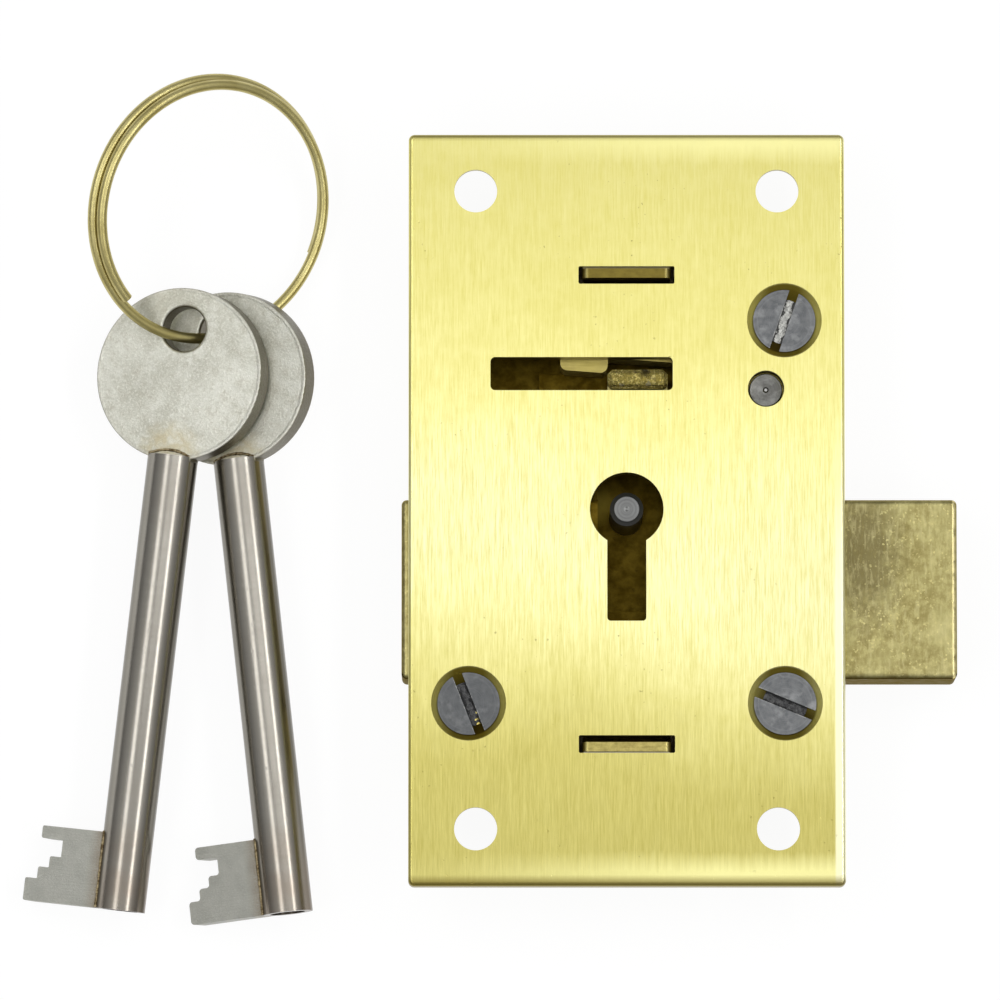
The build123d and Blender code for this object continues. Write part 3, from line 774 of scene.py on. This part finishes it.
def screw_steel():
    """Blued case screws: turned heads with light scratches and a torn, brighter slot floor."""
    steel = Surface("screw_steel", 1.0, 0.4)
    rings = steel.lines(nearest_screw(steel), 6.0, 4.0)
    clouds = steel.noise(steel.here, 1.3, 4.0, 0.65)
    nicks = steel.stretch(steel.here, (2.2, 0.5, 1.0))
    nicks = steel.range(steel.noise(nicks, 2.0, 3.0, 0.7, 1.0), 0.68, 0.72)
    across = slot_across(steel)
    tone = head_tone(steel, rings, clouds, nicks, across)
    height = steel.part(steel.here, Z)
    slot_floor = steel.range(height, SCREW_TOP - 0.3, SCREW_TOP - SCREW_SLOT_DEPTH + 0.05)
    torn = steel.noise(steel.here, 3.5, 5.0, 0.7, 0.5)
    steel.colour(steel.mix(slot_floor, tone, slot_tone(steel, torn, across)))
    steel.rough(steel.range(clouds, 0.3, 0.7, 0.33, 0.47))
    steel.relief(rings, 0.012)
    steel.relief(nicks, -0.02)
    steel.relief(steel.times(slot_floor, torn), 0.08)
    return steel.material


def pin_steel():
    """Turned steel pins: rings on the ends about each pin's own axis, and a centre mark."""
    steel = Surface("pin_steel", 1.0, 0.33)
    drill = steel.from_axis(steel.here, (0.0, 0.0))
    pivot = steel.from_axis(steel.here, PIVOT)
    near = steel.math("MINIMUM", drill, pivot)
    rings = steel.lines(near, 7.0, 4.0)
    sides = steel.noise(steel.stretch(steel.here, (0.8, 0.8, 5.0)), 1.0, 4.0)
    tone = steel.mix(steel.range(rings, 0.35, 0.65), PIN_DEEP, PIN_PALE)
    tone = steel.mix(steel.range(sides, 0.4, 0.7, 0.0, 0.4), tone, PIN_SIDES)
    on_pivot = steel.range(pivot, 2.2, 2.0)
    worn = steel.range(steel.noise(steel.here, 1.1, 4.0, 0.6), 0.38, 0.62)
    pivot_tone = steel.mix(worn, PIVOT_DEEP, PIVOT_PALE)
    tone = steel.mix(steel.times(on_pivot, 0.7), tone, pivot_tone)
    below = steel.range(steel.part(steel.here, Z), PLATE_FACE - 1.5, PLATE_FACE - 3.5)
    tone = steel.mix(steel.times(below, 0.5), tone, PIN_FOOT)
    # Painted highlight on the pivot's small nib.
    nib_highlight = steel.range(pivot, 0.22, 0.12)
    tone = steel.mix(nib_highlight, tone, NIB_HIGHLIGHT)
    steel.colour(tone)
    steel.relief(rings, 0.02)
    centre = steel.range(drill, 0.0, 0.22)
    steel.relief(centre, 0.06)
    return steel.material


def tube_tone(steel, here):
    """Tone and round lines of nickelled tube, brushed round its length, with painted shade and a
    painted brown reflection along its lower flanks, less on the key's -X side.
    """
    round_lines = steel.noise(steel.stretch(here, (0.6, 9.0, 0.6)), 1.0, 4.0, 0.6)
    long_lines = steel.noise(steel.stretch(here, (4.0, 0.1, 4.0)), 1.0, 4.0, 0.6)
    clouds = steel.noise(here, 0.3, 3.0)
    tone = steel.mix(steel.range(round_lines, 0.3, 0.7), TUBE_DEEP, TUBE_PALE)
    tone = steel.mix(steel.range(long_lines, 0.5, 0.75, 0.0, 0.35), tone, TUBE_LINES)
    tone = steel.mix(steel.range(clouds, 0.5, 0.75, 0.0, 0.25), tone, TUBE_CLOUD)
    across = steel.part(here, X)
    height = steel.times(across, math.sin(FLANK_LEAN))
    up = steel.times(steel.part(here, Z), math.cos(FLANK_LEAN))
    height = steel.plus(height, up)
    # Painted shade and a painted reflection darken the tube's lower flanks.
    flank_shade = steel.range(height, 0.72 * SHANK_RADIUS, 0.42 * SHANK_RADIUS)
    side = steel.range(across, -0.2, 0.2, 0.6, 0.85)
    flank_shade = steel.times(flank_shade, side)
    tone = steel.mix(flank_shade, tone, TUBE_FLANK_SHADE)
    return tone, round_lines, clouds


def bow_face(nickel, here, sand, clouds):
    """The bow's sandy face: soft clouds and blots, and a brassy flush where the shank joins."""
    blots = nickel.noise(here, 1.5, 4.0, 0.65)
    tone = nickel.mix(nickel.range(clouds, 0.34, 0.66), BOW_DEEP, BOW_PALE)
    tone = nickel.mix(nickel.range(blots, 0.5, 0.7, 0.0, 0.5), tone, BOW_BLOT_DEEP)
    tone = nickel.mix(nickel.range(blots, 0.46, 0.3, 0.0, 0.5), tone, BOW_BLOT_PALE)
    tone = nickel.mix(nickel.range(sand, 0.46, 0.76, 0.0, 0.62), tone, BOW_SAND)
    joint = nickel.from_axis(here, (0.0, SHANK_START))
    brassy = nickel.range(joint, 3.2, 1.7)
    brassy = nickel.times(brassy, nickel.range(blots, 0.35, 0.6, 0.2, 0.65))
    return nickel.mix(brassy, tone, BOW_FLUSH)


def bow_rim(nickel, here, chatter):
    """Share of the rim that the punch left rough, on the face round the bow's edge."""
    radius = nickel.from_axis(here, (0.0, 0.0))
    ragged = nickel.plus(radius, nickel.range(chatter, 0.0, 1.0, -0.2, 0.2))
    return nickel.range(ragged, BOW_RADIUS - 0.34, BOW_RADIUS - 0.2)


def bow_side(nickel, here):
    """Painted shade on the bow's sides and hole: a dark tone, with lines drawn through its
    thickness by the punch.
    """
    drawn = nickel.noise(nickel.stretch(here, (3.2, 3.2, 0.5)), 2.0, 3.0, 0.6)
    return nickel.mix(nickel.range(drawn, 0.3, 0.7), BOW_SIDE_SHADE_DEEP, BOW_SIDE_SHADE_PALE)


def bow_nickel(name, origin, turn):
    """Satin nickel bow: sandy face, rough rim, sides darkened with painted shade, and a tang bright
    as the shank.
    """
    nickel = Surface(name, 1.0, 0.42)
    here = nickel.about(origin, turn)
    sand = nickel.noise(here, 5.5, 4.0, 0.7)
    clouds = nickel.noise(here, 0.35, 3.0, 0.5, 0.3)
    chatter = nickel.noise(here, 3.2, 4.0, 0.65)
    tone = bow_face(nickel, here, sand, clouds)
    rim = bow_rim(nickel, here, chatter)
    worn = nickel.times(rim, nickel.range(chatter, 0.4, 0.6, 0.15, 0.5))
    tone = nickel.mix(worn, tone, BOW_RIM_WORN)
    # Painted shade on the bow's sides and in its hole.
    height = nickel.math("ABSOLUTE", nickel.part(here, Z))
    side = nickel.range(height, BOW_HALF - 0.02, BOW_HALF - 0.14, 0.0, 0.92)
    tone = nickel.mix(side, tone, bow_side(nickel, here))
    tang = nickel.range(nickel.part(here, Y), -BOW_RADIUS + 0.1, -BOW_RADIUS)
    nickel.colour(nickel.mix(tang, tone, tube_tone(nickel, here)[0]))
    face = nickel.math("SUBTRACT", 1.0, tang)
    satin = nickel.range(clouds, 0.3, 0.7, 0.23, 0.14)
    nickel.rough(nickel.plus(0.24, nickel.times(satin, face)))
    nickel.relief(nickel.times(sand, face), 0.03)
    worn_rim = nickel.times(rim, chatter)
    nickel.relief(nickel.times(worn_rim, face), 0.05)
    return nickel.material


def shank_steel(name, origin, turn):
    """Nickelled steel tube, polished, with faint lines round its length and small nicks."""
    steel = Surface(name, 1.0, 0.24)
    here = steel.about(origin, turn)
    along = steel.part(here, Y)
    tone, round_lines, clouds = tube_tone(steel, here)
    end = steel.range(along, KEY_TIP + BIT_LENGTH + 1.0, KEY_TIP + BIT_LENGTH - 1.0)
    scorched = steel.times(end, steel.range(clouds, 0.3, 0.6, 0.1, 0.45))
    tone = steel.mix(scorched, tone, SCORCHED)
    steel.colour(tone)
    steel.rough(steel.range(clouds, 0.3, 0.7, 0.22, 0.27))
    nicks = steel.range(steel.noise(here, 2.2, 4.0, 0.7), 0.60, 0.70)
    streak = steel.range(steel.noise(steel.stretch(here, (0.8, 0.1, 0.8)), 1.0, 2.0), 0.5, 0.6)
    nicks = steel.times(nicks, streak)
    steel.relief(round_lines, 0.0005)
    steel.relief(nicks, -0.006)
    return steel.material


def bit_steel(name, origin, turn):
    """Bead-blasted bit, matte grey, with faint cutter lines and darker corners."""
    steel = Surface(name, 1.0, 0.5)
    here = steel.about(origin, turn)
    sand = steel.noise(here, 6.0, 4.0, 0.7)
    cutter = steel.noise(steel.stretch(here, (0.3, 6.0, 0.3)), 1.0, 3.0)
    clouds = steel.noise(here, 0.7, 3.0)
    tone = steel.mix(steel.range(clouds, 0.30, 0.70), BIT_DEEP, BIT_PALE)
    tone = steel.mix(steel.range(sand, 0.5, 0.75, 0.0, 0.4), tone, BIT_SAND)
    root = steel.range(steel.part(here, X), -SHANK_RADIUS - 0.9, -SHANK_RADIUS + 0.2)
    stained = steel.times(root, steel.range(sand, 0.3, 0.7, 0.3, 0.8))
    tone = steel.mix(stained, tone, BIT_STAIN)
    steel.colour(tone)
    steel.relief(sand, 0.03)
    steel.relief(cutter, 0.02)
    return steel.material


def braze(name):
    """Brown flux and brass left at a brazed joint."""
    metal = Surface(name, 1.0, 0.5)
    lumps = metal.noise(metal.here, 3.0, 4.0, 0.7)
    tone = metal.mix(metal.range(lumps, 0.4, 0.6), FLUX_DEEP, FLUX_PALE)
    metal.colour(tone)
    metal.rough(metal.range(lumps, 0.3, 0.7, 0.6, 0.38))
    metal.relief(lumps, 0.06)
    return metal.material


def ring_brass():
    """Drawn brass wire, smooth and a little tarnished."""
    brass = Surface("ring_brass", 1.0, 0.38)
    clouds = brass.noise(brass.here, 0.35, 3.0, 0.5)
    specks = brass.noise(brass.here, 2.5, 3.0, 0.6)
    tone = brass.mix(brass.range(clouds, 0.35, 0.65), RING_DEEP, RING_PALE)
    tone = brass.mix(brass.range(specks, 0.60, 0.75, 0.0, 0.15), tone, RING_SPECKS)
    brass.colour(tone)
    brass.rough(brass.range(clouds, 0.3, 0.7, 0.41, 0.35))
    return brass.material


def dress(nodes, name, material):
    """Gives a solid of the frame its finish."""
    slots = nodes[name].data.materials
    if not slots:
        slots.append(material)
    for index in range(len(slots)):
        slots[index] = material


def wobble(number):
    """A small repeatable unevenness from -1 to 1."""
    return math.sin(number * 2.399) * 0.6 + math.sin(number * 5.73 + 1.0) * 0.4


def spread(corners, steps):
    """Points along the straight runs between corners."""
    points = []
    for start, end in zip(corners, corners[1:]):
        for step in range(steps):
            points.append(Vector(start).lerp(Vector(end), step / steps))
    points.append(Vector(corners[-1]))
    return points


def make_bead(name, body, points, radius, material):
    """A bead of uneven width through points of the frame in millimetres."""
    curve = bpy.data.curves.new(name, "CURVE")
    curve.dimensions = "3D"
    curve.bevel_depth = radius * MM
    curve.bevel_resolution = 4
    curve.use_fill_caps = True
    spline = curve.splines.new("POLY")
    spline.points.add(len(points) - 1)
    for number, point in enumerate(points):
        spline.points[number].co = (*(point * MM), 1.0)
        spline.points[number].radius = 1.0 + BEAD_WOBBLE * wobble(number)
    bead = bpy.data.objects.new(name, curve)
    bpy.context.scene.collection.objects.link(bead)
    curve.materials.append(material)
    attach(bead, body)


def make_braze_bead(name, key, points, material):
    """A bead of braze through points drawn about a key's bow."""
    origin, angles = KEYS[key]
    turn = key_turn(angles)
    placed = [turn @ point + Vector(origin) for point in points]
    make_bead(name, key, placed, BEAD_RADIUS, material)


def make_key_beads(key):
    """Braze round the root of the bit, and along the bow where the shank clasps it."""
    material = braze(key + "_braze")
    root = -math.sqrt(SHANK_RADIUS**2 - BIT_HALF**2)
    low = KEY_TIP + 0.05
    high = KEY_TIP + BIT_LENGTH
    corners = [
        (root, low, BIT_HALF),
        (root, high, BIT_HALF),
        (root, high, -BIT_HALF),
        (root, low, -BIT_HALF),
    ]
    make_braze_bead(key + "_bit_bead", key, spread(corners, BIT_BEAD_STEPS), material)
    half = math.sqrt(SHANK_RADIUS**2 - BOW_HALF**2) - 0.05
    for side, label in ((1, "front"), (-1, "rear")):
        arch = []
        for number in range(NECK_POINTS + 1):
            share = 2 * number / NECK_POINTS - 1
            rise = NECK_RISE * (1 - share**2)
            arch.append((half * share, SHANK_START + rise, side * (BOW_HALF - 0.02)))
        make_braze_bead(key + "_bow_bead_" + label, key, spread(arch, BOW_BEAD_STEPS), material)


def make_dried_oil():
    """Dark beads that close the gaps at the ends of the tab slots: painted shade where only shade
    is seen.
    """
    oil = Surface("slot_end_shade", 0.0, 0.7)
    lumps = oil.noise(oil.here, 3.0, 3.0)
    # Painted shade: the beads' dark colour stands in for the shade in the slot ends.
    oil.colour(oil.mix(lumps, SLOT_END_SHADE_DEEP, SLOT_END_SHADE_PALE))
    height = PLATE_BACK + SLOT_END_BEAD_RADIUS
    for side, label in ((1, "upper"), (-1, "lower")):
        low = side * TAB_SLOT_Y - TAB_SLOT_RISE
        high = side * TAB_SLOT_Y + TAB_SLOT_RISE
        for end, place in ((-1, "left"), (1, "right")):
            x = end * (TAB_SLOT_END - SLOT_END_BEAD_RADIUS)
            points = spread([(x, low, height), (x, high, height)], SLOT_END_BEAD_STEPS)
            name = "slot_end_shade_" + label + "_" + place
            make_bead(name, "lock_case", points, SLOT_END_BEAD_RADIUS, oil.material)


def roughness_at(x, y, level, size):
    """Uneven height at a place, from a layer of noise and its height and number per mm."""
    height, number = size
    return height * noise.noise(Vector((x, y, level)) * number)


def break_height(x, y):
    """Height of the stump's broken end at a place on it: lumps of crystals and a dip."""
    inward = min(x - BREAK_LOW[X], BREAK_HIGH[X] - x, y - BREAK_LOW[Y], BREAK_HIGH[Y] - y)
    rise = BREAK_RISE * math.sqrt(min(1.0, inward / BREAK_ROUND))
    upward = (y - BREAK_LOW[Y]) / (BREAK_HIGH[Y] - BREAK_LOW[Y])
    dip = BREAK_DIP_DEPTH * math.exp(-(((x - BREAK_DIP) / BREAK_DIP_WIDTH) ** 2))
    dip *= BREAK_DIP_LEAST + (1.0 - BREAK_DIP_LEAST) * upward
    rough = roughness_at(x, y, 0.0, BREAK_LUMPS) + roughness_at(x, y, 4.0, BREAK_GRAINS)
    return BREAK_SHOULDER + rise + (rough - dip) * rise / BREAK_RISE


def break_points():
    """Rows of points over the broken end, from its lower left corner."""
    points = []
    for row in range(BREAK_ROWS + 1):
        y = BREAK_LOW[Y] + (BREAK_HIGH[Y] - BREAK_LOW[Y]) * row / BREAK_ROWS
        for column in range(BREAK_COLUMNS + 1):
            x = BREAK_LOW[X] + (BREAK_HIGH[X] - BREAK_LOW[X]) * column / BREAK_COLUMNS
            points.append(Vector((x, y, break_height(x, y))) * MM)
    return points


def grid_faces(columns, rows):
    """Faces between the rows of points of a grid."""
    wide = columns + 1
    faces = []
    for row in range(rows):
        for column in range(columns):
            first = row * wide + column
            faces.append((first, first + 1, first + wide + 1, first + wide))
    return faces


def grid_rim(columns, rows):
    """Numbers of the points round a grid, from its lower left corner to the right and up."""
    wide = columns + 1
    rim = list(range(columns))
    rim += [row * wide + columns for row in range(rows)]
    rim += [rows * wide + column for column in range(columns, 0, -1)]
    rim += [row * wide for row in range(rows, 0, -1)]
    return rim


def make_break(material):
    """The rough end where the stump was broken from its casting, a closed form on the bolt."""
    points = break_points()
    faces = grid_faces(BREAK_COLUMNS, BREAK_ROWS)
    rim = grid_rim(BREAK_COLUMNS, BREAK_ROWS)
    foot = len(points)
    points += [Vector((points[place].x, points[place].y, BREAK_FOOT * MM)) for place in rim]
    count = len(rim)
    for number, place in enumerate(rim):
        after = (number + 1) % count
        faces.append((place, foot + number, foot + after, rim[after]))
    faces.append(tuple(foot + number for number in reversed(range(count))))
    mesh = bpy.data.meshes.new("stump_break")
    mesh.from_pydata(points, [], faces)
    mesh.materials.append(material)
    rough_end = bpy.data.objects.new("stump_break", mesh)
    bpy.context.scene.collection.objects.link(rough_end)
    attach(rough_end, "bolt")


def dress_lock(nodes):
    """Finishes of the lock's own solids."""
    dress(nodes, "front_plate", plate_brass())
    dress(nodes, "case", case_brass())
    make_dried_oil()
    dress(nodes, "case_posts", turned_brass())
    dress(nodes, "case_screws", screw_steel())
    pins = pin_steel()
    dress(nodes, "drill_pin", pins)
    dress(nodes, "lever_pivot", pins)
    bolt_brass = cast_brass()
    dress(nodes, "bolt", bolt_brass)
    make_break(bolt_brass)
    levers = lever_brass()
    springs = spring_bronze()
    for number in range(1, 5):
        dress(nodes, "lever_" + str(number), levers)
        dress(nodes, "lever_spring_" + str(number), springs)


def dress_keys(nodes):
    """Finishes of the keys and their ring, each on the coordinates of its own key."""
    dress(nodes, "key_ring", ring_brass())
    for key, (origin, angles) in KEYS.items():
        turn = key_turn(angles).to_euler("XYZ")
        dress(nodes, key + "_bow", bow_nickel(key + "_nickel", origin, turn))
        dress(nodes, key + "_shank", shank_steel(key + "_tube", origin, turn))
        dress(nodes, key + "_bit", bit_steel(key + "_bit_steel", origin, turn))
        make_key_beads(key)


def make_camera():
    """A long lens that looks down on the plate, tilted a little towards its lower end."""
    tilt = math.radians(VIEW_TILT)
    away = VIEW_WIDTH * LENS / SENSOR
    direction = Vector((0.0, -math.sin(tilt), math.cos(tilt)))
    data = bpy.data.cameras.new("camera")
    data.lens = LENS
    data.sensor_width = SENSOR
    data.clip_start = CLIP_NEAR * MM
    data.clip_end = CLIP_FAR * MM
    camera = bpy.data.objects.new("camera", data)
    camera.location = (Vector(VIEW_CENTRE) + direction * away) * MM
    camera.rotation_euler = (tilt, 0.0, 0.0)
    bpy.context.scene.collection.objects.link(camera)
    bpy.context.scene.camera = camera


def make_lamp(name, place, turn, width, length, radiance):
    """A soft box of a given radiance, with its place in millimetres."""
    data = bpy.data.lights.new(name, "AREA")
    data.shape = "RECTANGLE"
    data.size = width * MM
    data.size_y = length * MM
    data.energy = radiance * math.pi * width * length * MM * MM
    lamp = bpy.data.objects.new(name, data)
    lamp.location = Vector(place) * MM
    lamp.rotation_euler = turn
    lamp.visible_camera = False
    bpy.context.scene.collection.objects.link(lamp)


def make_lamps():
    """Two long soft boxes at the sides, and one that the plate mirrors towards the camera."""
    for name, (angle, distance, width, length, radiance) in SIDE_LAMPS.items():
        lean = math.radians(angle)
        place = (
            VIEW_CENTRE[0] + distance * math.sin(lean),
            0.0,
            distance * math.cos(lean),
        )
        make_lamp(name, place, (0.0, lean, 0.0), width, length, radiance)
    tilt = math.radians(VIEW_TILT)
    mirrored = Vector((0.0, math.sin(tilt), math.cos(tilt)))
    place = Vector(TOP_LAMP_AIM) + mirrored * TOP_LAMP_DISTANCE
    make_lamp("lamp_top", place, (-tilt, 0.0, 0.0), *TOP_LAMP_SIZE, TOP_LAMP_RADIANCE)


def make_sky():
    """A dim room that is brighter overhead than at the horizon."""
    world = bpy.data.worlds.new("room")
    world.use_nodes = True
    tree = world.node_tree
    place = tree.nodes.new("ShaderNodeTexCoord")
    split = tree.nodes.new("ShaderNodeSeparateXYZ")
    ramp = tree.nodes.new("ShaderNodeValToRGB")
    tree.links.new(place.outputs["Generated"], split.inputs[0])
    tree.links.new(split.outputs[2], ramp.inputs[0])
    tree.links.new(ramp.outputs[0], tree.nodes["Background"].inputs["Color"])
    levels = ((0.0, SKY_HORIZON), (SKY_MIDDLE_AT, SKY_MIDDLE), (1.0, SKY_TOP))
    ramp.color_ramp.elements.new(SKY_MIDDLE_AT)
    for element, (position, level) in zip(ramp.color_ramp.elements, levels):
        element.position = position
        element.color = (level, level, level, 1.0)
    bpy.context.scene.world = world


def light_paper(tree, shader):
    """Lets the paper show partly as plain white, so that its shadows stay light."""
    path = tree.nodes.new("ShaderNodeLightPath")
    seen = path.outputs["Is Camera Ray"]
    for ray in ("Is Glossy Ray", "Is Transmission Ray"):
        either = tree.nodes.new("ShaderNodeMath")
        either.operation = "MAXIMUM"
        tree.links.new(seen, either.inputs[0])
        tree.links.new(path.outputs[ray], either.inputs[1])
        seen = either.outputs[0]
    share = tree.nodes.new("ShaderNodeMath")
    share.operation = "MULTIPLY"
    tree.links.new(seen, share.inputs[0])
    share.inputs[1].default_value = FLOOR_GLOW
    white = tree.nodes.new("ShaderNodeEmission")
    white.inputs["Strength"].default_value = FLOOR_WHITE
    blend = tree.nodes.new("ShaderNodeMixShader")
    tree.links.new(share.outputs[0], blend.inputs[0])
    tree.links.new(shader.outputs[0], blend.inputs[1])
    tree.links.new(white.outputs[0], blend.inputs[2])
    tree.links.new(blend.outputs[0], tree.nodes["Material Output"].inputs["Surface"])


def make_floor():
    """A plain white surface under the lock and the keys."""
    half = FLOOR_SIZE * MM / 2
    low = -FLOOR_GAP * MM
    mesh = bpy.data.meshes.new("floor")
    corners = [(-half, -half, low), (half, -half, low), (half, half, low), (-half, half, low)]
    mesh.from_pydata(corners, [], [(0, 1, 2, 3)])
    floor = bpy.data.objects.new("floor", mesh)
    bpy.context.scene.collection.objects.link(floor)
    paper = bpy.data.materials.new("paper")
    paper.use_nodes = True
    shader = paper.node_tree.nodes["Principled BSDF"]
    shader.inputs["Base Color"].default_value = PAPER
    shader.inputs["Roughness"].default_value = 1.0
    shader.inputs["Specular IOR Level"].default_value = 0.0
    light_paper(paper.node_tree, shader)
    mesh.materials.append(paper)


def main():
    """Dresses and lights the part."""
    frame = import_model()
    make_camera()
    make_sky()
    make_lamps()
    make_floor()
    dress_lock(frame["nodes"])
    dress_keys(frame["nodes"])
    bpy.context.scene.view_settings.view_transform = "Standard"


main()
